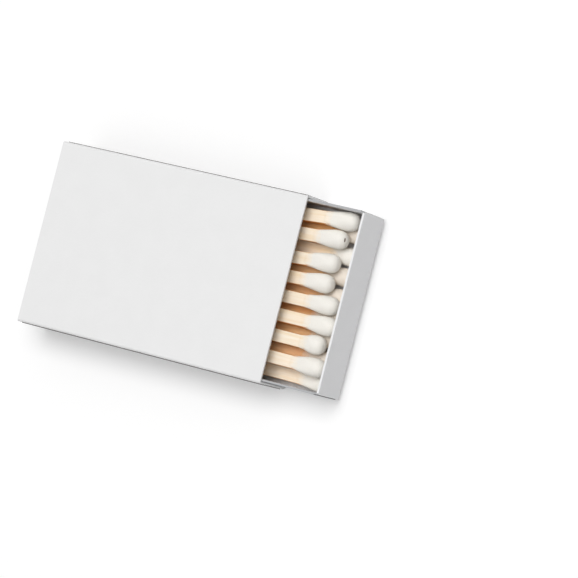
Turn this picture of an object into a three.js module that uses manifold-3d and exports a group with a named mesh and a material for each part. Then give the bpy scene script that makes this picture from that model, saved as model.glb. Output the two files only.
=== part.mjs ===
// A slide matchbox that lies on its back face: a folded card sleeve with a striking strip along each narrow
// side, a folded card tray drawn part of the way out, and wooden matches with dipped heads in the tray.
// Millimetres, +Z up. +X is the way the tray is drawn out, and the origin is on the table, under the middle
// of the sleeve and tray together.
import * as THREE from "three";
import { mergeVertices } from "three/addons/utils/BufferGeometryUtils.js";
import Module from "manifold-3d";

const wasm = await Module();
wasm.setup();

// Sleeve
const sleeveLength = 54.9;
const sleeveWidth = 36;
const sleeveHeight = 10.5;
const sleeveCard = 0.4;
const creaseRadius = 0.5; // outside radius of a folded edge
const glueFlapWidth = 8; // the lap glued down inside the back panel
const backPanelSetback = 0.3; // how far the back panel's cut edge stops short of the side
const leastRadius = 0.02; // inside a fold that thick card fills
const foldSegments = 4;

// Striking strips
const stripThickness = 0.12;
const stripEdgeMargin = 0.95; // bare card above and below a strip
const stripEndMargin = 0.6; // bare card at its two ends

// Tray
const trayLength = 54.7;
const trayOut = 12; // how far the tray's end stands out of the sleeve
const trayCard = 0.4;
const traySideGap = 0.15; // running gap to the sleeve, each side
const trayFloorGap = 0.15; // running gap over the glue flap
const trayRimGap = 0.22; // running gap under the sleeve's front panel
const endPanelReveal = 0.15; // how far an end panel stops short of the side walls' outer faces
const tabLength = 9; // glue tabs of the side walls, folded in behind the end panels
const tabTopDrop = 0.7; // the tabs' top edge below the rim, at the fold
const tabEndDrop = 3.2; // and at the free end of the tab
const tabSlant = 1.2; // how much shorter a tab is at the floor, so that it clears the crease
const cutOvershoot = 1; // how far a cutter runs past what it cuts

// Matches
const matchLength = 44;
const splintWidth = 2.45;
const splintEdgeRadius = 0.22;
const splintEdgeSegments = 2;
const headDiameter = 3.6;
const headCoat = 0.16; // thickness of the dip where it thins out on the splint
const dippedLength = 7; // from the tip to where the dip ends
const swellStart = 5.9; // from the tip to where the head begins to swell
const capLength = 2.5; // the rounded end of a head, from its widest part to the tip
const ballDippedLength = 5; // the same three sizes of a short, ball-like head
const ballSwellStart = 4.6;
const ballCapLength = 2.1;
const tipCover = 1.95; // how much of the head lies beyond the end of the splint
const socketGap = 0.02; // between the splint and the dip round it
const headSides = 16;
const headRings = 5; // in the swell, and again in the cap
const neckSquareness = 6; // exponent of the neck's rounded square; 2 is a circle
const seatGap = 0.1; // between pieces that rest on each other
const wallGap = 0.15; // between a row's outermost head and the tray's side wall
const play = 0.1; // the step that the loose lie of the matches is counted in

// How the matches of a row lie, in turn from the wall that the row starts at, counted in steps of play.
// gap is the clear space before a head, drift is how far the tail strays onwards, and back is the space
// between the tip and the tray's end panel. A row that outruns its list starts the list again.
const lowerRow = [
  { gap: 6, drift: 5, back: 6 },
  { gap: 6, drift: 2, back: 9 },
  { gap: 6, drift: -3, back: 6 },
  { gap: 3, drift: 2, back: 13 },
  { gap: 2, drift: -2, back: 7 },
  { gap: 4, drift: 3, back: 9 },
  { gap: 3, drift: 1, back: 6 },
  { gap: 7, drift: -4, back: 8 },
];
const upperRow = [
  { gap: 4, drift: 24, back: 18 },
  { gap: 1, drift: 18, back: 32 },
  { gap: 10, drift: 22, back: 36 },
  { gap: 3, drift: 12, back: 38 },
  { gap: 2, drift: 3, back: 17 },
  { gap: 2, drift: 0, back: 9 },
  { gap: 2, drift: -2, back: 24, ball: true },
  { gap: 5, drift: -3, back: 12 },
];

// Sizes and places that follow from the ones above
const boxEnd = (sleeveLength + trayOut) / 2; // +X end of the tray; the sleeve begins at -boxEnd
const sleeveStart = -boxEnd;
const trayStart = boxEnd - trayLength;
const sleeveInnerWidth = sleeveWidth - 2 * sleeveCard;
const trayWidth = sleeveInnerWidth - 2 * traySideGap;
const trayBottom = 2 * sleeveCard + trayFloorGap;
const trayRim = sleeveHeight - sleeveCard - trayRimGap;
const trayFloor = trayBottom + trayCard;
const headRoom = trayWidth / 2 - trayCard - headDiameter / 2 - wallGap;
const tailRoom = trayWidth / 2 - trayCard - splintWidth / 2 - seatGap;
const innerCrease = (card) => Math.max(creaseRadius - card, leastRadius);

const cardWhite = new THREE.MeshStandardMaterial({ color: 0xebebea, roughness: 0.85, metalness: 0 });
const trayWhite = new THREE.MeshStandardMaterial({ color: 0xe4e5e6, roughness: 0.88, metalness: 0 });
const strikerBrown = new THREE.MeshStandardMaterial({ color: 0x352b2b, roughness: 0.95, metalness: 0 });
const paleWood = new THREE.MeshStandardMaterial({ color: 0xecd3b0, roughness: 0.75, metalness: 0 });
const headWhite = new THREE.MeshStandardMaterial({ color: 0xf1eee7, roughness: 0.7, metalness: 0 });

// Shapes drawn on the YZ plane run along +X, and shapes on the XZ plane run along +Y.
const alongX = new THREE.Matrix4().makeBasis(
  new THREE.Vector3(0, 1, 0),
  new THREE.Vector3(0, 0, 1),
  new THREE.Vector3(1, 0, 0),
);
const alongY = new THREE.Matrix4().makeRotationX(Math.PI / 2);

function toSolid(geometry) {
  const bare = geometry.clone();
  bare.deleteAttribute("normal");
  bare.deleteAttribute("uv");
  const merged = mergeVertices(bare, 1e-4);
  return new wasm.Manifold(
    new wasm.Mesh({
      numProp: 3,
      vertProperties: merged.attributes.position.array,
      triVerts: new Uint32Array(merged.index.array),
    }),
  );
}

function fromSolid(solid) {
  const mesh = solid.getMesh();
  const geometry = new THREE.BufferGeometry();
  geometry.setAttribute("position", new THREE.BufferAttribute(mesh.vertProperties, 3));
  geometry.setIndex(new THREE.BufferAttribute(mesh.triVerts, 1));
  const flat = geometry.toNonIndexed();
  flat.computeVertexNormals();
  return flat;
}

function extruded(shape, length, curveSegments = foldSegments) {
  return new THREE.ExtrudeGeometry(shape, { depth: length, bevelEnabled: false, curveSegments });
}

function box(x0, x1, y0, y1, z0, z1) {
  const geometry = new THREE.BoxGeometry(x1 - x0, y1 - y0, z1 - z0);
  return geometry.translate((x0 + x1) / 2, (y0 + y1) / 2, (z0 + z1) / 2);
}

// A rectangle with round corners, added to a shape or a hole.
function roundedRectangle(path, x0, x1, y0, y1, radius) {
  path.moveTo(x0 + radius, y0);
  path.lineTo(x1 - radius, y0);
  path.absarc(x1 - radius, y0 + radius, radius, -Math.PI / 2, 0);
  path.lineTo(x1, y1 - radius);
  path.absarc(x1 - radius, y1 - radius, radius, 0, Math.PI / 2);
  path.lineTo(x0 + radius, y1);
  path.absarc(x0 + radius, y1 - radius, radius, Math.PI / 2, Math.PI);
  path.lineTo(x0, y0 + radius);
  path.absarc(x0 + radius, y0 + radius, radius, Math.PI, 1.5 * Math.PI);
  path.closePath();
  return path;
}

// The sleeve's section: one card folded round four edges. At the -Y edge of the back the side wall folds
// in as a glue flap, and the back panel's cut edge lies over it.
function sleeveGeometry() {
  const side = sleeveWidth / 2;
  const r = creaseRadius;
  const lap = sleeveCard;
  const outline = new THREE.Shape();
  outline.moveTo(-side + backPanelSetback, 0);
  outline.lineTo(side - r, 0);
  outline.absarc(side - r, r, r, -Math.PI / 2, 0);
  outline.lineTo(side, sleeveHeight - r);
  outline.absarc(side - r, sleeveHeight - r, r, 0, Math.PI / 2);
  outline.lineTo(-side + r, sleeveHeight);
  outline.absarc(-side + r, sleeveHeight - r, r, Math.PI / 2, Math.PI);
  outline.lineTo(-side, lap + r);
  outline.absarc(-side + r, lap + r, r, Math.PI, 1.25 * Math.PI);
  outline.lineTo(-side + backPanelSetback, lap);
  outline.closePath();

  const inner = side - sleeveCard;
  const q = innerCrease(sleeveCard);
  const top = sleeveHeight - sleeveCard;
  const hole = new THREE.Path();
  hole.moveTo(-inner + q, 2 * lap);
  hole.lineTo(-inner + glueFlapWidth, 2 * lap);
  hole.lineTo(-inner + glueFlapWidth, lap);
  hole.lineTo(inner - q, lap);
  hole.absarc(inner - q, lap + q, q, -Math.PI / 2, 0);
  hole.lineTo(inner, top - q);
  hole.absarc(inner - q, top - q, q, 0, Math.PI / 2);
  hole.lineTo(-inner + q, top);
  hole.absarc(-inner + q, top - q, q, Math.PI / 2, Math.PI);
  hole.lineTo(-inner, 2 * lap + q);
  hole.absarc(-inner + q, 2 * lap + q, q, Math.PI, 1.5 * Math.PI);
  hole.closePath();
  outline.holes.push(hole);
  return extruded(outline, sleeveLength).applyMatrix4(alongX);
}

// A striking strip, lying on the sleeve's narrow side at +Y or -Y.
function stripGeometry(sideSign) {
  const face = (sideSign * sleeveWidth) / 2;
  const outer = face + sideSign * stripThickness;
  return box(
    stripEndMargin,
    sleeveLength - stripEndMargin,
    Math.min(face, outer),
    Math.max(face, outer),
    stripEdgeMargin,
    sleeveHeight - stripEdgeMargin,
  );
}

// The tray, one folded card. A trough of floor and side walls is joined with the floor's two end panels and
// with the side walls' tabs, which turn in behind each end panel and slope down to their free ends.
function trayGeometry() {
  const half = trayWidth / 2;
  const height = trayRim - trayBottom;
  const r = creaseRadius;
  const q = innerCrease(trayCard);

  const trough = new THREE.Shape();
  trough.moveTo(-half + r, 0);
  trough.lineTo(half - r, 0);
  trough.absarc(half - r, r, r, -Math.PI / 2, 0);
  trough.lineTo(half, height);
  trough.lineTo(half - trayCard, height);
  trough.lineTo(half - trayCard, trayCard + q);
  trough.absarc(half - trayCard - q, trayCard + q, q, 0, -Math.PI / 2, true);
  trough.lineTo(-half + trayCard + q, trayCard);
  trough.absarc(-half + trayCard + q, trayCard + q, q, -Math.PI / 2, -Math.PI, true);
  trough.lineTo(-half + trayCard, height);
  trough.lineTo(-half, height);
  trough.lineTo(-half, r);
  trough.absarc(-half + r, r, r, Math.PI, 1.5 * Math.PI);
  trough.closePath();
  const troughLength = trayLength - 2 * trayCard - 2 * r;
  const walls = toSolid(extruded(trough, troughLength).applyMatrix4(alongX).translate(trayCard + r, 0, 0));

  // Seen from above, the side walls turn round the corners into the tabs.
  const plan = new THREE.Shape();
  roundedRectangle(plan, trayCard, trayLength - trayCard, -half, half, r);
  const planHole = new THREE.Path();
  roundedRectangle(planHole, 2 * trayCard, trayLength - 2 * trayCard, -half + trayCard, half - trayCard, q);
  plan.holes.push(planHole);
  const ringBottom = trayCard;
  const ring = toSolid(extruded(plan, height - ringBottom).translate(0, 0, ringBottom));

  // What is cut out of the ring between the two tabs of an end, and above their sloping tops.
  const tabTop = height - tabTopDrop;
  const tabEnd = height - tabEndDrop;
  const foldIn = half - trayCard;
  const tabTip = foldIn - tabLength;
  const between = new THREE.Shape();
  between.moveTo(-tabTip - tabSlant, -cutOvershoot);
  between.lineTo(tabTip + tabSlant, -cutOvershoot);
  between.lineTo(tabTip, tabEnd);
  between.lineTo(foldIn, tabTop);
  between.lineTo(foldIn, height + cutOvershoot);
  between.lineTo(-foldIn, height + cutOvershoot);
  between.lineTo(-foldIn, tabTop);
  between.lineTo(-tabTip, tabEnd);
  between.closePath();
  const cutter = extruded(between, 2 * trayCard + 2 * q).applyMatrix4(alongX);
  const cutStart = toSolid(cutter.clone().translate(-q, 0, 0));
  const cutEnd = toSolid(cutter.clone().translate(trayLength - 2 * trayCard - q, 0, 0));

  const ends = new THREE.Shape();
  ends.moveTo(r, 0);
  ends.lineTo(trayLength - r, 0);
  ends.absarc(trayLength - r, r, r, -Math.PI / 2, 0);
  ends.lineTo(trayLength, height);
  ends.lineTo(trayLength - trayCard, height);
  ends.lineTo(trayLength - trayCard, trayCard);
  ends.lineTo(trayCard, trayCard);
  ends.lineTo(trayCard, height);
  ends.lineTo(0, height);
  ends.lineTo(0, r);
  ends.absarc(r, r, r, Math.PI, 1.5 * Math.PI);
  ends.closePath();
  const endWidth = trayWidth - 2 * endPanelReveal;
  const endPanels = toSolid(extruded(ends, endWidth).applyMatrix4(alongY).translate(0, endWidth / 2, 0));

  const tabs = ring.subtract(cutStart).subtract(cutEnd);
  return fromSolid(walls.add(tabs).add(endPanels));
}

// The square splint, its end hidden in the head. The match lies along X with its tip at +X, and its origin
// is where the head is widest.
function splintShape(width, radius) {
  return roundedRectangle(new THREE.Shape(), -width / 2, width / 2, -width / 2, width / 2, radius);
}

function splintGeometry(cap) {
  const length = matchLength - tipCover;
  const shape = splintShape(splintWidth, splintEdgeRadius);
  return extruded(shape, length, splintEdgeSegments).applyMatrix4(alongX).translate(cap - matchLength, 0, 0);
}

// Distance from the axis to a rounded square of half width 1; an exponent of 2 gives a circle.
function roundedSquare(angle, exponent) {
  const c = Math.abs(Math.cos(angle)) ** exponent;
  const s = Math.abs(Math.sin(angle)) ** exponent;
  return (c + s) ** (-1 / exponent);
}

// The dipped head: square where the dip thins out on the splint, round where it swells, closed by a rounded
// cap, and hollow where the end of the splint fills it.
function headGeometry(dipped, swell, cap) {
  const neckRadius = splintWidth / 2 + headCoat;
  const headRadius = headDiameter / 2;
  const profile = [new THREE.Vector2(0, cap - dipped), new THREE.Vector2(neckRadius, cap - dipped)];
  for (let i = 0; i <= headRings; i++) {
    const t = i / headRings;
    const ease = t * t * (3 - 2 * t);
    const radius = THREE.MathUtils.lerp(neckRadius, headRadius, ease);
    profile.push(new THREE.Vector2(radius, THREE.MathUtils.lerp(cap - swell, 0, t)));
  }
  for (let i = 1; i <= headRings; i++) {
    const angle = (i / headRings) * (Math.PI / 2);
    const radius = i === headRings ? 0 : headRadius * Math.cos(angle);
    profile.push(new THREE.Vector2(radius, cap * Math.sin(angle)));
  }
  const lathe = new THREE.LatheGeometry(profile, headSides);
  const place = lathe.getAttribute("position");
  for (let i = 0; i < place.count; i++) {
    const x = place.getX(i);
    const z = place.getZ(i);
    const radius = Math.hypot(x, z);
    const roundness = THREE.MathUtils.smoothstep(radius, neckRadius, headRadius);
    const exponent = place.getY(i) < 0 ? THREE.MathUtils.lerp(neckSquareness, 2, roundness) : 2;
    const grow = roundedSquare(Math.atan2(z, x), exponent);
    place.setXYZ(i, x * grow, place.getY(i), z * grow);
  }
  const upright = new THREE.Matrix4().makeRotationZ(-Math.PI / 2); // the lathe's axis, +Y, turns to +X
  const socketWidth = splintWidth + 2 * socketGap;
  const socketRadius = splintEdgeRadius + socketGap;
  const socketLength = dipped - tipCover + socketGap;
  const socketShape = splintShape(socketWidth, socketRadius);
  const socket = extruded(socketShape, socketLength + cutOvershoot, splintEdgeSegments)
    .applyMatrix4(alongX)
    .translate(cap - dipped - cutOvershoot, 0, 0);
  return fromSolid(toSolid(lathe.applyMatrix4(upright)).subtract(toSolid(socket)));
}

function piece(name, geometry, material) {
  const mesh = new THREE.Mesh(geometry, material);
  mesh.name = name;
  return mesh;
}

const longHead = headGeometry(dippedLength, swellStart, capLength);
const ballHead = headGeometry(ballDippedLength, ballSwellStart, ballCapLength);
const longSplint = splintGeometry(capLength);
const ballSplint = splintGeometry(ballCapLength);

// Heads side by side from the wall on the given side, 1 for +Y, until the tray is full.
function laidRow(row, side) {
  const laid = [];
  for (let reach = -headRoom; reach <= headRoom; ) {
    const lie = row[laid.length % row.length];
    const tail = THREE.MathUtils.clamp(reach + lie.drift * play, -tailRoom, tailRoom);
    laid.push({ across: -side * reach, tail: -side * tail, back: lie.back * play, ball: lie.ball });
    reach += headDiameter + row[laid.length % row.length].gap * play;
  }
  return side > 0 ? laid.reverse() : laid;
}

// One match, its head's centre at the given height and its tail at tailHeight.
function match(label, lie, headHeight, tailHeight) {
  const cap = lie.ball ? ballCapLength : capLength;
  const toTail = matchLength - cap;
  const group = new THREE.Group();
  group.add(piece("splint_" + label, lie.ball ? ballSplint : longSplint, paleWood));
  group.add(piece("head_" + label, lie.ball ? ballHead : longHead, headWhite));
  const tip = boxEnd - trayCard - lie.back;
  group.position.set(tip - cap, lie.across, headHeight);
  group.rotation.order = "ZYX";
  group.rotation.z = Math.atan2(lie.across - lie.tail, toTail);
  group.rotation.y = -Math.atan2(headHeight - tailHeight, toTail);
  return group;
}

// How high a head lies when it rests on the heads of the row below.
function nestedHeight(across, rowBelow, heightBelow) {
  const reach = headDiameter + seatGap;
  const rises = rowBelow.map((other) => Math.sqrt(Math.max(reach ** 2 - (across - other.across) ** 2, 0)));
  return heightBelow + Math.max(...rises);
}

const matchbox = new THREE.Group();

const sleeveGroup = new THREE.Group();
sleeveGroup.position.x = sleeveStart;
sleeveGroup.add(piece("sleeve", sleeveGeometry(), cardWhite));
sleeveGroup.add(piece("striker_left", stripGeometry(1), strikerBrown));
sleeveGroup.add(piece("striker_right", stripGeometry(-1), strikerBrown));
matchbox.add(sleeveGroup);

const trayMesh = piece("tray", trayGeometry(), trayWhite);
trayMesh.position.set(trayStart, 0, trayBottom);
matchbox.add(trayMesh);

const lowerHeadHeight = trayFloor + headDiameter / 2 + seatGap;
const lowerTailHeight = trayFloor + splintWidth / 2 + seatGap;
const upperTailHeight = lowerTailHeight + splintWidth + 2 * seatGap;
const lowerLaid = laidRow(lowerRow, -1);
const upperLaid = laidRow(upperRow, 1);
lowerLaid.forEach((lie, i) => {
  matchbox.add(match("lower_" + (i + 1), lie, lowerHeadHeight, lowerTailHeight));
});
upperLaid.forEach((lie, i) => {
  const height = nestedHeight(lie.across, lowerLaid, lowerHeadHeight);
  matchbox.add(match("upper_" + (i + 1), lie, height, upperTailHeight));
});

export default matchbox;
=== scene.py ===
# %% [markdown]
# A slide matchbox, drawn open
#
# The real thing is two folded cards, a sleeve and a tray, with a striking strip down each narrow side and a
# bed of wooden matches inside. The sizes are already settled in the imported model, so this lesson only
# dresses it: the cards keep their solids and get a paper finish, and each match gets a modelled splint and
# head.

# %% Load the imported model
import math

import bmesh
import bpy
from mathutils import Matrix, Vector, noise


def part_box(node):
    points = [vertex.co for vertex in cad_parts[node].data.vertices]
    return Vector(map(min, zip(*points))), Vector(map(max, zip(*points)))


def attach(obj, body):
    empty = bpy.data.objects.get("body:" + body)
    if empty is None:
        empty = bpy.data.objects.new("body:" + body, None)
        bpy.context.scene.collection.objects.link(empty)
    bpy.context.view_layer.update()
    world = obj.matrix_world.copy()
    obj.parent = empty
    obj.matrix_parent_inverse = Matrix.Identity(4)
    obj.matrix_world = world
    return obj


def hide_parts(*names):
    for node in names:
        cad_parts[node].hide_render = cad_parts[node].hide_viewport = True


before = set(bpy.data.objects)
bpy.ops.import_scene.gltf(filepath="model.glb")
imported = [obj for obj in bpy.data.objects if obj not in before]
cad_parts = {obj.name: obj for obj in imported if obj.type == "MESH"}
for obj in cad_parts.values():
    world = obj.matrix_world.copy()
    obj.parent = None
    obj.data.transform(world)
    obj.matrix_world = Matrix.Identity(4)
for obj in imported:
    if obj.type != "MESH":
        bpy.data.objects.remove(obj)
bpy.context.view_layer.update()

MM = 0.001
scene = bpy.context.scene
scene.view_settings.view_transform = "Standard"

# %% [markdown]
# The camera
#
# The photograph was taken from well above the box and from beyond its open end, with a long lens. A camera
# is a place, a turn and a focal length. A long lens far away keeps parallel edges nearly parallel, which a
# close wide lens would not, so the place is half a metre off and the lens is long.

# %% Camera at the photograph's angle
CAMERA_PLACE = Vector((274.70, -14.47, 486.47)) * MM
CAMERA_TURN_DEGREES = (8.989, 26.586, 16.118)
FOCAL_LENGTH = 181.74
SENSOR_WIDTH = 36.0
NEAREST_SEEN = 10 * MM

camera_data = bpy.data.cameras.new("camera")
camera_data.lens = FOCAL_LENGTH
camera_data.sensor_width = SENSOR_WIDTH
camera_data.sensor_fit = "HORIZONTAL"
camera_data.clip_start = NEAREST_SEEN
camera = bpy.data.objects.new("camera", camera_data)
camera.location = CAMERA_PLACE
camera.rotation_euler = [math.radians(angle) for angle in CAMERA_TURN_DEGREES]
scene.collection.objects.link(camera)
scene.camera = camera
print("camera", round(CAMERA_PLACE.length / MM), "mm from the middle of the box")

# %% [markdown]
# Light from all round
#
# A white card box on white needs gentle light, or its faces and the floor run together. One plain bright
# world would light every face alike. This one is bright overhead and dim at the horizon, as under a ceiling
# of soft light, so upright faces are greyer than flat ones. The camera itself sees it as plain white.

# %% World that is brighter overhead
WHITE = (1, 1, 1, 1)
HORIZON_LEVEL = 0.04
OVERHEAD_LEVEL = 0.61

world = bpy.data.worlds.new("studio")
world.use_nodes = True
scene.world = world
nodes, links = world.node_tree.nodes, world.node_tree.links
nodes.clear()
direction = nodes.new("ShaderNodeTexCoord")
parts = nodes.new("ShaderNodeSeparateXYZ")
level = nodes.new("ShaderNodeMapRange")
level.inputs["To Min"].default_value = HORIZON_LEVEL
level.inputs["To Max"].default_value = OVERHEAD_LEVEL
fill = nodes.new("ShaderNodeBackground")
fill.inputs["Color"].default_value = WHITE
backdrop = nodes.new("ShaderNodeBackground")
backdrop.inputs["Color"].default_value = WHITE
rays = nodes.new("ShaderNodeLightPath")
either = nodes.new("ShaderNodeMixShader")
output = nodes.new("ShaderNodeOutputWorld")
links.new(direction.outputs["Generated"], parts.inputs["Vector"])
links.new(parts.outputs["Z"], level.inputs["Value"])
links.new(level.outputs["Result"], fill.inputs["Strength"])
links.new(rays.outputs["Is Camera Ray"], either.inputs["Fac"])
links.new(fill.outputs["Background"], either.inputs[1])
links.new(backdrop.outputs["Background"], either.inputs[2])
links.new(either.outputs["Shader"], output.inputs["Surface"])
print("world from", HORIZON_LEVEL, "at the horizon to", OVERHEAD_LEVEL, "overhead")

# %% [markdown]
# The lamp
#
# The matches in the photograph are lit from above and from beyond the open end, with soft shadows between
# them. A small lamp would cut hard shadows, so this one is a disk almost a metre wide, high over that end.

# %% One broad lamp
LAMP_PLACE = Vector((0.18, 0.25, 1.22))
LAMP_SIZE = 0.9
LAMP_POWER = 10.6

lamp_data = bpy.data.lights.new("soft_lamp", "AREA")
lamp_data.shape = "DISK"
lamp_data.size = LAMP_SIZE
lamp_data.energy = LAMP_POWER
lamp = bpy.data.objects.new("soft_lamp", lamp_data)
lamp.location = LAMP_PLACE
lamp.rotation_euler = (-LAMP_PLACE).to_track_quat("-Z", "Y").to_euler()
scene.collection.objects.link(lamp)
print("lamp", LAMP_SIZE, "m wide,", LAMP_POWER, "W")

# %% [markdown]
# The floor
#
# The box lies on white paper that is brighter than its own card and still shows a shadow. More light would
# burn out the card as well, and a glowing floor would light the box from below. So the floor is matte, with
# a little glow that only the camera sees.

# %% Pale floor
FLOOR_SIZE = 6.0
FLOOR_COLOUR = (0.80, 0.80, 0.80, 1)
FLOOR_GLOW = 0.22


def new_material(name):
    """An empty material with its nodes, its links and its output node, ready for a shader."""
    material = bpy.data.materials.new(name)
    material.use_nodes = True
    nodes, links = material.node_tree.nodes, material.node_tree.links
    nodes.clear()
    return material, nodes, links, nodes.new("ShaderNodeOutputMaterial")


floor_mesh = bpy.data.meshes.new("floor")
bm = bmesh.new()
bmesh.ops.create_grid(bm, x_segments=1, y_segments=1, size=FLOOR_SIZE / 2)
bm.to_mesh(floor_mesh)
bm.free()
floor = bpy.data.objects.new("floor", floor_mesh)
scene.collection.objects.link(floor)

floor_material, nodes, links, output = new_material("pale floor")
matte = nodes.new("ShaderNodeBsdfDiffuse")
matte.inputs["Color"].default_value = FLOOR_COLOUR
rays = nodes.new("ShaderNodeLightPath")
seen_glow = nodes.new("ShaderNodeMath")
seen_glow.operation = "MULTIPLY"
seen_glow.inputs[1].default_value = FLOOR_GLOW
glow = nodes.new("ShaderNodeEmission")
both = nodes.new("ShaderNodeAddShader")
links.new(rays.outputs["Is Camera Ray"], seen_glow.inputs[0])
links.new(seen_glow.outputs["Value"], glow.inputs["Strength"])
links.new(matte.outputs["BSDF"], both.inputs[0])
links.new(glow.outputs["Emission"], both.inputs[1])
links.new(both.outputs["Shader"], output.inputs["Surface"])
floor_mesh.materials.append(floor_material)
print("floor", FLOOR_SIZE, "m across")

# %% [markdown]
# A kit for patterns
#
# Board, wood and the dry dip on a match are all made of small grains or fibres, and their patterns are sums
# of a few noises. Each node could be made and wired by hand every time. A short function for each kind of
# node leaves only the pattern itself to read.


# %% Colours, and what feeds a socket
def screen_colour(red, green, blue):
    """A colour given as 0 to 255 on a screen, as the linear colour that a shader takes (the sRGB curve)."""
    linear = []
    for value in (red, green, blue):
        share = value / 255
        linear.append(share / 12.92 if share <= 0.04045 else ((share + 0.055) / 1.055) ** 2.4)
    return (*linear, 1.0)


def feed(links, value, socket):
    """value into a socket: a link if it is another node's output, and a plain setting if it is not."""
    if isinstance(value, bpy.types.NodeSocket):
        links.new(value, socket)
    else:
        socket.default_value = value


print("mid grey on a screen is", round(screen_colour(128, 128, 128)[0], 3), "to a shader")


# %% The nodes that patterns use
def noise_node(nodes, links, place, scale, detail=2.0, roughness=0.5):
    """A noise read at place."""
    texture = nodes.new("ShaderNodeTexNoise")
    links.new(place, texture.inputs["Vector"])
    for name, value in (("Scale", scale), ("Detail", detail), ("Roughness", roughness)):
        feed(links, value, texture.inputs[name])
    return texture.outputs["Fac"]


def stretched(nodes, links, place, scale):
    """place with its three coordinates scaled, so that a noise read there is drawn out."""
    mapping = nodes.new("ShaderNodeMapping")
    mapping.inputs["Scale"].default_value = scale
    links.new(place, mapping.inputs["Vector"])
    return mapping.outputs["Vector"]


def math_node(nodes, links, operation, *values):
    """One sum of one or two values."""
    node = nodes.new("ShaderNodeMath")
    node.operation = operation
    for value, socket in zip(values, node.inputs):
        feed(links, value, socket)
    return node.outputs["Value"]


def spread(nodes, links, value, span, reach=(0.0, 1.0)):
    """value inside span, stretched to fill reach."""
    node = nodes.new("ShaderNodeMapRange")
    links.new(value, node.inputs["Value"])
    for name, number in zip(("From Min", "From Max", "To Min", "To Max"), (*span, *reach)):
        node.inputs[name].default_value = number
    return node.outputs["Result"]


def mixed_colour(nodes, links, share, first, second):
    """first where share is 0 and second where it is 1."""
    node = nodes.new("ShaderNodeMix")
    node.data_type = "RGBA"
    links.new(share, node.inputs["Factor"])
    feed(links, first, node.inputs[6])
    feed(links, second, node.inputs[7])
    return node.outputs[2]


print("five kinds of pattern node: noise, stretch, sum, spread and mix")

# %% [markdown]
# Three effects that materials share
#
# An effect could be built again in every material that shows it. A node group is built once and placed with
# its own values, so a change to it reaches them all. Each group here gives a colour, a roughness and a
# height, and the shader stays outside it.

# %% A new node group
COLOUR, VALUE, VECTOR = "NodeSocketColor", "NodeSocketFloat", "NodeSocketVector"
PLACE_INPUT = ("Place", VECTOR, (0, 0, 0))
SURFACE_OUTPUTS = (("Colour", COLOUR), ("Roughness", VALUE), ("Height", VALUE))


def new_group(name, *inputs):
    """A node group that reads a place and its inputs, given as (name, socket type, value)."""
    group = bpy.data.node_groups.new(name, "ShaderNodeTree")
    for socket_name, kind, value in (PLACE_INPUT, *inputs):
        socket = group.interface.new_socket(socket_name, in_out="INPUT", socket_type=kind)
        socket.default_value = value
    for socket_name, kind in SURFACE_OUTPUTS:
        group.interface.new_socket(socket_name, in_out="OUTPUT", socket_type=kind)
    source = group.nodes.new("NodeGroupInput")
    result = group.nodes.new("NodeGroupOutput")
    return group, group.nodes, group.links, source.outputs, result.inputs


print("every group gives", [name for name, kind in SURFACE_OUTPUTS])

# %% [markdown]
# Board fibre
#
# White board is faintly cloudy when light falls across it, and short fibres lie in its face. One fine noise
# would look like sand. A wide noise for the clouds, a fine one drawn out a little for the fibres and a finer
# one for the tooth of the paper are kept apart, so each has its own size.

# %% Board fibre group
CLOUD_SCALE = 260.0
FIBRE_SCALE = 5200.0
TOOTH_SCALE = 9000.0
FIBRE_STRETCH = (0.35, 1.0, 1.0)
CLOUD_SPAN = (0.35, 0.65)
FIBRE_SPAN = (0.4, 0.7)
DULLER_SPAN = (0.3, 0.7)
DULLER_BY = (-0.05, 0.05)
CLOUD_SHADE = 0.9
TOOTH_SHARE = 0.5

fibre_group, nodes, links, given, wanted = new_group(
    "Board fibre", ("Colour", COLOUR, WHITE), ("Cloud", VALUE, 0.03), ("Roughness", VALUE, 0.8))
drawn_out = stretched(nodes, links, given["Place"], FIBRE_STRETCH)
cloud = noise_node(nodes, links, given["Place"], CLOUD_SCALE, detail=3.0)
fibres = noise_node(nodes, links, drawn_out, FIBRE_SCALE, detail=3.0, roughness=0.65)
tooth = noise_node(nodes, links, given["Place"], TOOTH_SCALE)
shaded = nodes.new("ShaderNodeHueSaturation")
shaded.inputs["Value"].default_value = CLOUD_SHADE
links.new(given["Colour"], shaded.inputs["Color"])
patches = math_node(nodes, links, "ADD", spread(nodes, links, cloud, CLOUD_SPAN),
                    spread(nodes, links, fibres, FIBRE_SPAN))
share = math_node(nodes, links, "MULTIPLY", patches, given["Cloud"])
colour = mixed_colour(nodes, links, share, given["Colour"], shaded.outputs["Color"])
duller = spread(nodes, links, cloud, DULLER_SPAN, DULLER_BY)
links.new(colour, wanted["Colour"])
links.new(math_node(nodes, links, "ADD", given["Roughness"], duller), wanted["Roughness"])
fine_relief = math_node(nodes, links, "MULTIPLY", tooth, TOOTH_SHARE)
links.new(math_node(nodes, links, "ADD", fibres, fine_relief), wanted["Height"])
print(fibre_group.name, len(nodes), "nodes")

# %% [markdown]
# Fine grit
#
# A dip and a striking strip are both mineral powder in glue, with a few grains of another colour that catch
# the light. Noise alone has no separate grains, so cells give the specks, and a rough noise fills between
# them.

# %% Fine grit group
SPECK_SPAN = (0.35, 0.05)
SPECK_GLOSS = 0.3
SPECK_HEIGHT = 0.6

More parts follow.
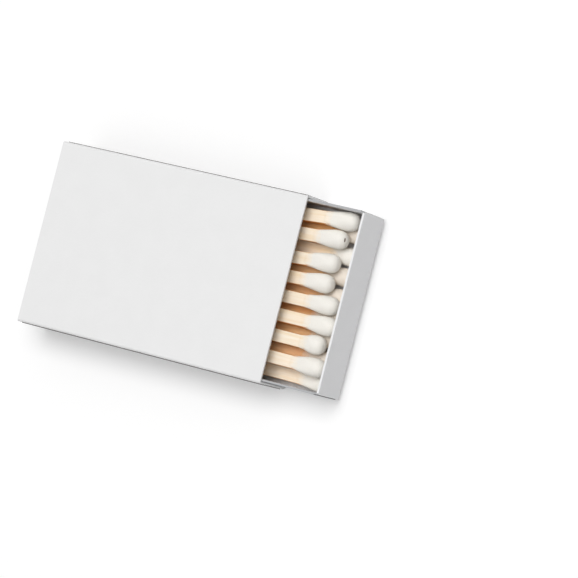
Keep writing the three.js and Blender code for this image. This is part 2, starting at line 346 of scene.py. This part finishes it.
grit_group, nodes, links, given, wanted = new_group(
    "Fine grit", ("Colour", COLOUR, WHITE), ("Grain colour", COLOUR, WHITE), ("Grain size", VALUE, 5000.0),
    ("Grain share", VALUE, 0.3), ("Roughness", VALUE, 0.8))
between = noise_node(nodes, links, given["Place"], given["Grain size"], detail=4.0, roughness=0.7)
cells = nodes.new("ShaderNodeTexVoronoi")
links.new(given["Place"], cells.inputs["Vector"])
links.new(given["Grain size"], cells.inputs["Scale"])
specks = spread(nodes, links, cells.outputs["Distance"], SPECK_SPAN)
share = math_node(nodes, links, "MULTIPLY", specks, given["Grain share"])
glossier = math_node(nodes, links, "MULTIPLY", share, SPECK_GLOSS)
raised = math_node(nodes, links, "MULTIPLY", specks, SPECK_HEIGHT)
links.new(mixed_colour(nodes, links, share, given["Colour"], given["Grain colour"]), wanted["Colour"])
links.new(math_node(nodes, links, "SUBTRACT", given["Roughness"], glossier), wanted["Roughness"])
links.new(math_node(nodes, links, "ADD", between, raised), wanted["Height"])
print(grit_group.name, len(nodes), "nodes")

# %% [markdown]
# Wood grain
#
# A splint shows long pale and dark streaks with fine pores between them. Rings cut through a whole log would
# be truer, but a splint is so thin that only their straight edges show. So noise is drawn out along the
# first coordinate, once wide for the bands and once fine for streaks and pores.

# %% Wood grain group
GRAIN_STRETCH = (0.06, 1.0, 1.0)
BAND_SCALE = 900.0
STREAK_SCALE = 4200.0
BAND_SPAN = (0.42, 0.72)
BAND_SHARE = (0.0, 0.6)
PORE_SPAN = (0.56, 0.74)
PORE_SHARE = 0.35
PORE_ROUGHNESS = 0.12

# The Shade colour is painted shade for the wood in the gaps between matches, mixed in by Shade share.
grain_group, nodes, links, given, wanted = new_group(
    "Wood grain", ("Peeled", COLOUR, WHITE), ("Streak", COLOUR, WHITE), ("Chopped", COLOUR, WHITE),
    ("Chopped share", VALUE, 0.0), ("Roughness", VALUE, 0.7))
lengthwise = stretched(nodes, links, given["Place"], GRAIN_STRETCH)
bands = noise_node(nodes, links, lengthwise, BAND_SCALE, roughness=0.6)
streaks = noise_node(nodes, links, lengthwise, STREAK_SCALE, detail=3.0, roughness=0.7)
pores = spread(nodes, links, streaks, PORE_SPAN)
share = math_node(nodes, links, "ADD", spread(nodes, links, bands, BAND_SPAN, BAND_SHARE),
                  math_node(nodes, links, "MULTIPLY", pores, PORE_SHARE))
peeled = mixed_colour(nodes, links, share, given["Peeled"], given["Streak"])
shade_and_tone = mixed_colour(nodes, links, share, given["Chopped"], given["Streak"])
rougher = math_node(nodes, links, "MULTIPLY", pores, PORE_ROUGHNESS)
links.new(mixed_colour(nodes, links, given["Chopped share"], peeled, shade_and_tone), wanted["Colour"])
links.new(math_node(nodes, links, "ADD", given["Roughness"], rougher), wanted["Roughness"])
links.new(math_node(nodes, links, "SUBTRACT", streaks, pores), wanted["Height"])
print(grain_group.name, len(nodes), "nodes")

# %% [markdown]
# From a pattern to a finish
#
# Everything on this box is dry and dull: card, wood and powder. A metal or a clear coat would be wrong, so
# one plain shader with little gloss serves them all, and only what feeds it differs.


# %% A dull shader that a group feeds
def dull_surface(nodes, links, output, gloss=0.3):
    """A plain shader wired to the output, with less gloss than it has by default."""
    shader = nodes.new("ShaderNodeBsdfPrincipled")
    shader.inputs["Specular IOR Level"].default_value = gloss
    links.new(shader.outputs["BSDF"], output.inputs["Surface"])
    return shader


def object_place(nodes):
    """The place on the piece, in metres."""
    return nodes.new("ShaderNodeTexCoord").outputs["Object"]


def painted(nodes, name):
    """The value of an attribute that is kept on the mesh."""
    attribute = nodes.new("ShaderNodeAttribute")
    attribute.attribute_name = name
    return attribute.outputs["Fac"]


print("groups to place:", [group.name for group in bpy.data.node_groups])


# %% Placing a group and dressing a piece
def place_group(nodes, links, group, place, **values):
    """group in a material, reading its pattern at place, with its other sockets fed by name."""
    node = nodes.new("ShaderNodeGroup")
    node.node_tree = group
    links.new(place, node.inputs["Place"])
    for name, value in values.items():
        feed(links, value, node.inputs[name.replace("_", " ")])
    return node.outputs


def dress(nodes, links, shader, colour, roughness, height, depth, strength=1.0):
    """Colour, roughness and relief into the shader. depth is the relief's depth in metres."""
    relief = nodes.new("ShaderNodeBump")
    relief.inputs["Strength"].default_value = strength
    relief.inputs["Distance"].default_value = depth
    links.new(height, relief.inputs["Height"])
    links.new(colour, shader.inputs["Base Color"])
    links.new(roughness, shader.inputs["Roughness"])
    links.new(relief.outputs["Normal"], shader.inputs["Normal"])


def set_material(piece, material):
    """material as the only one on a piece."""
    piece.data.materials.clear()
    piece.data.materials.append(material)


print("solids to dress:", [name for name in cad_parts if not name.startswith(("head_", "splint_"))])

# %% [markdown]
# The cards
#
# Sleeve and tray are cut from white board and scored, folded and glued. Their solids already have the round
# creases and the cut edges, so remodelling them would add nothing. A paper finish does the rest: a faint
# cloudiness, short fibres that only show in raking light, and hardly any gloss.

# %% Board, on the sleeve first
SLEEVE_WHITE = screen_colour(235, 235, 235)
TRAY_WHITE = screen_colour(240, 240, 241)
BOARD_CLOUD = 0.12
BOARD_ROUGHNESS = 0.82
BOARD_GLOSS = 0.2
BOARD_TOOTH = 0.012 * MM
TOOTH_STRENGTH = 0.6


def board_material(name, white, edge_shade=None):
    """White board. edge_shade can paint shade into its colour along the card's edges."""
    material, nodes, links, output = new_material(name)
    shader = dull_surface(nodes, links, output, BOARD_GLOSS)
    board = place_group(nodes, links, fibre_group, object_place(nodes), Colour=white, Cloud=BOARD_CLOUD,
                        Roughness=BOARD_ROUGHNESS)
    colour = edge_shade(nodes, links, board["Colour"]) if edge_shade else board["Colour"]
    dress(nodes, links, shader, colour, board["Roughness"], board["Height"], BOARD_TOOTH, TOOTH_STRENGTH)
    return material


set_material(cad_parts["sleeve"], board_material("sleeve board", SLEEVE_WHITE))
print("sleeve dressed")

# %% [markdown]
# The tray's edges
#
# The tray's side walls have their rims painted grey, as painted shade, and a painted shadow lies as a dark
# seam where each end panel meets a side wall. Both could be pieces of their own, but they are no wider than
# the card is thick and have no depth. They run dead straight along the tray's edges, so the material finds
# them from the place on the tray.

# %% Painted shade on the rims and in the seams
BOARD = 0.4 * MM
CREASE = 0.5 * MM
END_PANEL_REVEAL = 0.15 * MM
RIM_DEPTH = 0.05 * MM
EDGE_SOFTNESS = 0.02 * MM
# Painted shade: the grey of the side walls' rims.
RIM_SHADE_GREY = screen_colour(178, 179, 181)
# Painted shadow: the dark grey of the seam beside each end panel.
SEAM_SHADE_GREY = screen_colour(96, 96, 98)
tray_low, tray_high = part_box("tray")


def past(nodes, links, value, limit):
    """1 where value is beyond the limit and 0 before it."""
    return spread(nodes, links, value, (limit - EDGE_SOFTNESS, limit + EDGE_SOFTNESS))


def tray_edge_shade(nodes, links, white):
    """white, with painted shade in grey on the side walls' rims and a painted shadow as a seam beside each end
    panel.
    """
    parts = nodes.new("ShaderNodeSeparateXYZ")
    links.new(object_place(nodes), parts.inputs["Vector"])
    middle = (tray_low.x + tray_high.x) / 2
    from_middle = math_node(nodes, links, "SUBTRACT", parts.outputs["X"], middle)
    along = math_node(nodes, links, "ABSOLUTE", from_middle)
    across = math_node(nodes, links, "ABSOLUTE", parts.outputs["Y"])
    rim_shade = math_node(nodes, links, "MULTIPLY", past(nodes, links, across, tray_high.y - BOARD),
                       past(nodes, links, parts.outputs["Z"], tray_high.z - RIM_DEPTH))
    seam_shade = math_node(nodes, links, "MULTIPLY",
                        past(nodes, links, across, tray_high.y - END_PANEL_REVEAL),
                        past(nodes, links, along, tray_high.x - middle - BOARD - CREASE))
    # Painted shade on the rims, then a painted shadow in the seams.
    rim_shaded = mixed_colour(nodes, links, rim_shade, white, RIM_SHADE_GREY)
    return mixed_colour(nodes, links, seam_shade, rim_shaded, SEAM_SHADE_GREY)


set_material(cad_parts["tray"], board_material("tray board", TRAY_WHITE, tray_edge_shade))
print("tray dressed, its rims", round(BOARD / MM, 2), "mm wide")

# %% [markdown]
# The striking strips
#
# A striking strip is a dark, gritty coat that is printed on the board. Its grains are far too small to
# model, so they are relief and specks in the material.

# %% Striking surface
STRIP_BROWN = screen_colour(58, 46, 46)
STRIP_GRAIN = screen_colour(104, 84, 80)
STRIP_GRAIN_SIZE = 4200.0
STRIP_GRAIN_SHARE = 0.35
STRIP_ROUGHNESS = 0.85
STRIP_RELIEF = 0.05 * MM

striking_surface, nodes, links, output = new_material("striking surface")
grit = place_group(nodes, links, grit_group, object_place(nodes), Colour=STRIP_BROWN,
                   Grain_colour=STRIP_GRAIN, Grain_size=STRIP_GRAIN_SIZE, Grain_share=STRIP_GRAIN_SHARE,
                   Roughness=STRIP_ROUGHNESS)
dress(nodes, links, dull_surface(nodes, links, output), grit["Colour"], grit["Roughness"], grit["Height"],
      STRIP_RELIEF)
for side in ("left", "right"):
    set_material(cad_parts["striker_" + side], striking_surface)
print("strips dressed")

# %% [markdown]
# Where each match lies
#
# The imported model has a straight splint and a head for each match. Their two ends say where a match lies and
# which way it points, so every modelled match can be built along one axis and then laid in its place. Loose
# matches also roll a little about their own axes, which straight solids in a neat row don't show.

# %% Read the matches' places
MOST_ROLL_DEGREES = 4.0
ROLL_STEP = 2.4


def points_of(name):
    """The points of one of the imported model's solids."""
    return [v.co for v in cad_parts[name].data.vertices]


def middle_of(points):
    """The middle of the box round some points."""
    low = Vector([min(p[i] for p in points) for i in range(3)])
    high = Vector([max(p[i] for p in points) for i in range(3)])
    return (low + high) / 2


def match_place(label):
    """The turn and place of a match with its tip at the origin and its tail at -X, and its whole length."""
    splint = points_of("splint_" + label)
    halfway = middle_of(splint).x
    tail = middle_of([p for p in splint if p.x < halfway])
    front = middle_of([p for p in splint if p.x > halfway])
    along = (front - tail).normalized()
    reach = max((p - tail).dot(along) for p in points_of("head_" + label))
    across = Vector((0, 0, 1)).cross(along).normalized()
    up = along.cross(across)
    turn = Matrix((along, across, up)).transposed().to_4x4()
    return Matrix.Translation(tail + along * reach) @ turn, reach


MATCHES = sorted(name[len("head_"):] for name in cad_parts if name.startswith("head_"))
places, lengths, dip_lengths = {}, {}, {}
for number, label in enumerate(MATCHES):
    lie, lengths[label] = match_place(label)
    roll = math.radians(MOST_ROLL_DEGREES) * math.sin(number * ROLL_STEP)
    places[label] = lie @ Matrix.Rotation(roll, 4, "X")
    inward = places[label].inverted()
    dip_lengths[label] = -min((inward @ p).x for p in points_of("head_" + label))
print(len(MATCHES), "matches,", round(lengths[MATCHES[0]] / MM, 1), "mm long")

# %% [markdown]
# Wood that the grain follows
#
# Two faces of a splint are peeled smooth off a log, and the two between them are chopped. The chopped sides
# face the gaps between the matches and take a painted shade of warm brown. Where the dip thins out on a
# splint, the same wood shows through it. Splint and head therefore carry the same two layers: a grain map
# that runs along the wood and round it, from another start on each match, and an attribute that says how
# much painted brown shade the wood takes there. On the top row that is only a little random tone, and most
# of the bottom row lies deeper and takes painted shade all over.

# %% Grain map and painted shade
SPLINT_WIDTH = 2.45 * MM
SPLINT_EDGE_STEPS = 3
CUT_END_CORNERS = 4 * (SPLINT_EDGE_STEPS + 1)
CUT_END_BROWN = 0.6
GRAIN_START = Vector((0.137, 0.0193))
BROWN_SEED = 5
# Painted shade on most of the bottom row, which lies deeper.
SHADE_BELOW = 0.75
BROWN_ABOVE = 0.05
BROWN_RANGE = 0.15
# These two bottom-row matches take no painted shade.
UNSHADED_BELOW = ("lower_1", "lower_7")


def in_shaded_row(label):
    """Most of the bottom row lies deeper, and its wood and heads take painted shade."""
    return label.startswith("lower") and label not in UNSHADED_BELOW


def wood_shade_and_tone(label):
    """How much of the painted warm shade colour the peeled faces of a splint take, from 0 to 1: much on most
    of the bottom row, and on the rest only a little random tone.
    """
    return (SHADE_BELOW if in_shaded_row(label) else BROWN_ABOVE) + BROWN_RANGE * noise.random()


def mark_wood(bm, seed, face_shade_and_tone):
    """The grain map, and an attribute for the share of painted warm shade: 1 on the side faces and
    face_shade_and_tone on the peeled faces.
    """
    grain = bm.loops.layers.uv.new("grain")
    shade_and_tone = bm.loops.layers.float.new("shade_and_tone")
    for face in bm.faces:
        is_cut_end = len(face.verts) == CUT_END_CORNERS
        past_half_turn = face.calc_center_median().y < 0
        for loop in face.loops:
            p = loop.vert.co
            angle = math.atan2(p.z, p.y)
            if past_half_turn and angle < 0:
                angle += math.tau
            spot = (p.y, p.z) if is_cut_end else (p.x, angle / math.tau * 4 * SPLINT_WIDTH)
            loop[grain].uv = Vector(spot) + seed * GRAIN_START
            # Painted shade: the sides face the gaps and take all of it.
            side = 1.0 if abs(p.y) > abs(p.z) else face_shade_and_tone
            loop[shade_and_tone] = CUT_END_BROWN if is_cut_end else side


noise.seed_set(BROWN_SEED)
shades_and_tones = {label: wood_shade_and_tone(label) for label in MATCHES}
print("brownest splint", round(max(shades_and_tones.values()), 2), "palest", round(min(shades_and_tones.values()), 2))

# %% [markdown]
# Splints
#
# A splint is chopped from peeled poplar, so it is square with slightly soft edges, and never quite true. A
# cube stretched to length, bevelled along its long edges, cut into short lengths and pushed about by a
# little noise gives that. Its cut ends stay flat, since a knife leaves them sharp.

# %% Splint mesh
SPLINT_EDGE = 0.2 * MM
SPLINT_CUTS = 36
SPLINT_WAVER = 0.05 * MM
WAVER_SCALE = Vector((90, 500, 500))
TIP_COVER = 1.9 * MM


def long_edges_of(bm, run):
    """The edges that go the whole run of a splint."""
    return [e for e in bm.edges if abs(e.verts[0].co.x - e.verts[1].co.x) > run / 2]


def splint_bmesh(length, seed, face_shade_and_tone):
    """A splint from x = -length to x = -TIP_COVER, with its grain map."""
    bm = bmesh.new()
    bmesh.ops.create_cube(bm, size=1.0)
    run = length - TIP_COVER
    bmesh.ops.scale(bm, vec=(run, SPLINT_WIDTH, SPLINT_WIDTH), verts=bm.verts)
    bmesh.ops.translate(bm, vec=(-TIP_COVER - run / 2, 0, 0), verts=bm.verts)
    bmesh.ops.bevel(bm, geom=long_edges_of(bm, run), offset=SPLINT_EDGE, segments=SPLINT_EDGE_STEPS,
                    profile=0.5, affect="EDGES", material=-1)
    bmesh.ops.subdivide_edges(bm, edges=long_edges_of(bm, run), cuts=SPLINT_CUTS, use_grid_fill=True)
    mark_wood(bm, seed, face_shade_and_tone)
    for v in bm.verts:
        push = noise.noise_vector(v.co * WAVER_SCALE + Vector((seed, 0, 0)))
        v.co.y += push.y * SPLINT_WAVER
        v.co.z += push.z * SPLINT_WAVER
    return bm


def finished(name, bm, body, material, place):
    """The bmesh as a piece laid in its place on a body, smooth but for a splint's cut ends."""
    mesh = bpy.data.meshes.new(name)
    bmesh.ops.transform(bm, matrix=place, verts=bm.verts)
    bmesh.ops.recalc_face_normals(bm, faces=bm.faces)
    for face in bm.faces:
        face.smooth = len(face.verts) != CUT_END_CORNERS
    bm.to_mesh(mesh)
    bm.free()
    mesh.materials.append(material)
    piece = bpy.data.objects.new(name, mesh)
    scene.collection.objects.link(piece)
    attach(piece, body)
    return piece


print("a splint is", round(SPLINT_WIDTH / MM, 2), "mm thick and cut into", SPLINT_CUTS + 1, "lengths")

# %% [markdown]
# Splint wood
#
# Poplar is nearly white where it is peeled. One even wood colour would leave the gaps between the matches as
# pale as their tops, so the chopped sides, which face the gaps, take a painted shade of warm brown.

# %% Wood on the splints
PEELED_FACE = screen_colour(255, 246, 229)
GRAIN_STREAK = screen_colour(243, 216, 172)
# Painted shade: the warm brown of the gaps between the matches.
GAP_SHADE_BROWN = screen_colour(234, 166, 88)
WOOD_ROUGHNESS = 0.62
WOOD_RELIEF = 0.03 * MM


def place_wood(nodes, links):
    """The wood grain group, placed on the grain map."""
    grain_map = nodes.new("ShaderNodeUVMap")
    grain_map.uv_map = "grain"
    return place_group(nodes, links, grain_group, grain_map.outputs["UV"], Peeled=PEELED_FACE,
                       Streak=GRAIN_STREAK, Chopped=GAP_SHADE_BROWN, Chopped_share=painted(nodes, "shade_and_tone"),
                       Roughness=WOOD_ROUGHNESS)


splint_wood, nodes, links, output = new_material("splint wood")
wood = place_wood(nodes, links)
dress(nodes, links, dull_surface(nodes, links, output), wood["Colour"], wood["Roughness"], wood["Height"],
      WOOD_RELIEF)

for number, label in enumerate(MATCHES):
    shape = splint_bmesh(lengths[label], number + 1, shades_and_tones[label])
    splint = finished("wood_" + label, shape, "tray", splint_wood, places[label])
    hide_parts("splint_" + label)
print(len(MATCHES), "splints of", len(splint.data.polygons), "faces")

# %% [markdown]
# The profile of a head
#
# A head is a splint's end dipped in a thick paste and hung to dry. It thins out to nothing up the wood,
# swells to a bulb and closes in a blunt tip. A stretched ball would be too pointed at the tip and too round
# at the neck, so the outline is drawn in three runs: neck, swell and cap. A short dip makes a rounder ball.

# %% Head profile
HEAD_WIDTH = 3.6 * MM
LONG_DIP = 6.0 * MM
BALL_SWELL = 4.4 * MM
BALL_CAP = 1.9 * MM
LONG_SWELL = 6.2 * MM
LONG_CAP = 2.2 * MM
THIN_EDGE_SUNK = 0.04 * MM
NECK_COAT = 0.1 * MM
NECK_STEPS = 4
SWELL_STEPS = 12
CAP_STEPS = 12
CAP_BLUNTNESS = 2.5


def head_profile(dip):
    """Distance behind the tip and radius, from the thin edge of the dip to the tip."""
    is_ball = dip < LONG_DIP
    swell = BALL_SWELL if is_ball else LONG_SWELL
    cap = BALL_CAP if is_ball else LONG_CAP
    thin = SPLINT_WIDTH / 2 - THIN_EDGE_SUNK
    neck = SPLINT_WIDTH / 2 + NECK_COAT
    full = HEAD_WIDTH / 2
    points = []
    for i in range(NECK_STEPS):
        t = i / NECK_STEPS
        points.append((dip + (swell - dip) * t, thin + (neck - thin) * math.sin(t * math.pi / 2)))
    for i in range(SWELL_STEPS):
        t = i / SWELL_STEPS
        ease = t * t * (3 - 2 * t)
        points.append((swell + (cap - swell) * t, neck + (full - neck) * ease))
    for i in range(CAP_STEPS + 1):
        angle = i / CAP_STEPS * math.pi / 2
        ahead = math.sin(angle) ** (2 / CAP_BLUNTNESS)
        points.append((cap * (1 - ahead), full * max(math.cos(angle), 0) ** (2 / CAP_BLUNTNESS)))
    return points


print("a head's outline has", len(head_profile(LONG_DIP)), "points")

# %% [markdown]
# Heads
#
# The outline is spun round the splint's axis. Near the neck the paste still follows the splint's corners, so
# the section there is pressed to a rounded square, and a little noise makes each head different. One
# attribute runs from 0 at the dip's thin edge to 1, and the material uses it to let wood show. Most heads of
# the bottom row lie deeper, and another attribute gives them a painted warm shade.

# %% Head mesh
HEAD_STEPS = 40
SAME_POINT = 0.001 * MM
NECK_SQUARENESS = 6.0
ROUND_SQUARENESS = 2.0
ROUND_TIP = 2.5 * MM
BLEND = 2.3 * MM
LUMP = 0.06 * MM
LUMP_SCALE = 420
LUMP_SHIFT = 7.3
LUMP_FADE = 2 * MM


def rounded_square(angle, squareness):
    """Distance from the axis to a rounded square of half width 1. A squareness of 2 gives a circle."""
    total = abs(math.cos(angle)) ** squareness + abs(math.sin(angle)) ** squareness
    return total ** (-1 / squareness)


def squareness_at(place):
    """How square a head's section is: round at the tip and the bulb, and square at the neck."""
    if -place.x <= ROUND_TIP:
        return ROUND_SQUARENESS
    neck, full = SPLINT_WIDTH / 2, HEAD_WIDTH / 2
    share = min(max((math.hypot(place.y, place.z) - neck) / (full - neck), 0), 1)
    return NECK_SQUARENESS + (ROUND_SQUARENESS - NECK_SQUARENESS) * share


def head_bmesh(dip, seed, face_shade_and_tone, dusty):
    """A head with its tip at the origin and its neck towards -X."""
    bm = bmesh.new()
    verts = [bm.verts.new((-back, radius, 0)) for back, radius in head_profile(dip)]
    verts.insert(0, bm.verts.new((-dip, 0, 0)))
    edges = [bm.edges.new(pair) for pair in zip(verts, verts[1:])]
    bmesh.ops.spin(bm, geom=verts + edges, cent=(0, 0, 0), axis=(1, 0, 0), angle=math.tau, steps=HEAD_STEPS,
                   use_merge=True)
    bmesh.ops.remove_doubles(bm, verts=bm.verts, dist=SAME_POINT)
    cover = bm.verts.layers.float.new("dip")
    dust = bm.verts.layers.float.new("dust")
    for v in bm.verts:
        from_edge = dip + v.co.x
        v[cover] = min(max(from_edge / BLEND, 0), 1)
        v[dust] = dusty
        grow = rounded_square(math.atan2(v.co.z, v.co.y), squareness_at(v.co))
        lump = noise.noise_vector(v.co * LUMP_SCALE + Vector((seed * LUMP_SHIFT, 0, 0)))
        lump *= LUMP * min(from_edge / LUMP_FADE, 1)
        v.co = Vector((v.co.x, v.co.y * grow, v.co.z * grow)) + lump
    mark_wood(bm, seed, face_shade_and_tone)
    return bm


print("a head is", round(HEAD_WIDTH / MM, 2), "mm thick and spun in", HEAD_STEPS, "steps")

# %% [markdown]
# The burst bubble
#
# One head dried with a burst bubble near its tip. A dark spot in the material would have no depth, and a
# ball cut out of the head would leave ragged edges. So a few faces there are cut finer, their points are
# pressed in, and an attribute marks the hollow for the material. The edges to cut are picked by their
# middles, because which end of an edge comes first can change from run to run.

# %% Press the pit
PITTED = "upper_7"
PIT_PLACE = Vector((-0.12, 0.1, 0.85)) * MM
PIT_RADIUS = 0.22 * MM
PIT_STRETCH = 2.2
PIT_DEPTH = 0.25 * MM
PIT_CUTS = 3
PIT_SURROUNDINGS = 3 * PIT_RADIUS
BULB_MIDDLE = Vector((-2, 0, 0)) * MM


def press_pit(bm):
    """A burst bubble near the tip, on the side that lies up."""
    centre = min(bm.verts, key=lambda v: (v.co - PIT_PLACE).length).co.copy()
    middles = {e: middle_of([v.co for v in e.verts]) for e in bm.edges}
    near = [e for e in bm.edges if (middles[e] - centre).length < PIT_SURROUNDINGS]
    bmesh.ops.subdivide_edges(bm, edges=near, cuts=PIT_CUTS, use_grid_fill=True)
    pit = bm.verts.layers.float.new("pit")
    inward = (BULB_MIDDLE - centre).normalized()
    for v in bm.verts:
        away = v.co - centre
        off = math.hypot(away.y / PIT_STRETCH, (away - inward * away.dot(inward)).xz.length)
        depth = max(1 - (off / PIT_RADIUS) ** 2, 0)
        v[pit] = min(2 * depth, 1)
        v.co += inward * PIT_DEPTH * depth


print("the pit is", round(PIT_DEPTH / MM, 2), "mm deep")

# %% [markdown]
# The dried dip
#
# The paste dries to a matte, fine-grained white. At its edge it's too thin to hide the wood. A sharp border
# between two materials would look painted on, so one material holds both, and the attribute mixes them with
# an uneven edge.

# %% Dried dip, thinning out on the wood
DIP_WHITE = screen_colour(243, 240, 233)
DIP_GRAIN = screen_colour(232, 226, 214)
DIP_GRAIN_SIZE = 3600.0
DIP_GRAIN_SHARE = 0.5
DIP_ROUGHNESS = 0.7
DIP_RELIEF = 0.03 * MM
PIT_SHADE = screen_colour(120, 104, 92)
# Painted shade: the warm tint that most heads of the bottom row take.
HEAD_SHADE_TINT = screen_colour(220, 198, 174)
HEAD_SHADE_BELOW = 0.4
RAGGED_SCALE = 1500.0
RAGGED_SPAN = (0.3, 0.7)
RAGGED_BY = (-0.15, 0.15)
COVER_SPAN = (0.05, 0.9)

dried_dip, nodes, links, output = new_material("dried dip")
place = object_place(nodes)
paste = place_group(nodes, links, grit_group, place, Colour=DIP_WHITE, Grain_colour=DIP_GRAIN,
                    Grain_size=DIP_GRAIN_SIZE, Grain_share=DIP_GRAIN_SHARE, Roughness=DIP_ROUGHNESS)
ragged = spread(nodes, links, noise_node(nodes, links, place, RAGGED_SCALE), RAGGED_SPAN, RAGGED_BY)
cover = math_node(nodes, links, "ADD", painted(nodes, "dip"), ragged)
cover = spread(nodes, links, cover, COVER_SPAN)
# Painted warm shade on most heads of the bottom row.
dusted = mixed_colour(nodes, links, painted(nodes, "dust"), paste["Colour"], HEAD_SHADE_TINT)
coat = mixed_colour(nodes, links, cover, place_wood(nodes, links)["Colour"], dusted)
colour = mixed_colour(nodes, links, painted(nodes, "pit"), coat, PIT_SHADE)
dress(nodes, links, dull_surface(nodes, links, output), colour, paste["Roughness"], paste["Height"],
      DIP_RELIEF)

for number, label in enumerate(MATCHES):
    # Painted shade on the heads of the bottom row.
    dusty = HEAD_SHADE_BELOW if in_shaded_row(label) else 0.0
    shape = head_bmesh(dip_lengths[label], number + 1, shades_and_tones[label], dusty)
    if label == PITTED:
        press_pit(shape)
    head = finished("dip_" + label, shape, "tray", dried_dip, places[label])
    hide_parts("head_" + label)
print(len(MATCHES), "heads of", len(head.data.polygons), "faces")
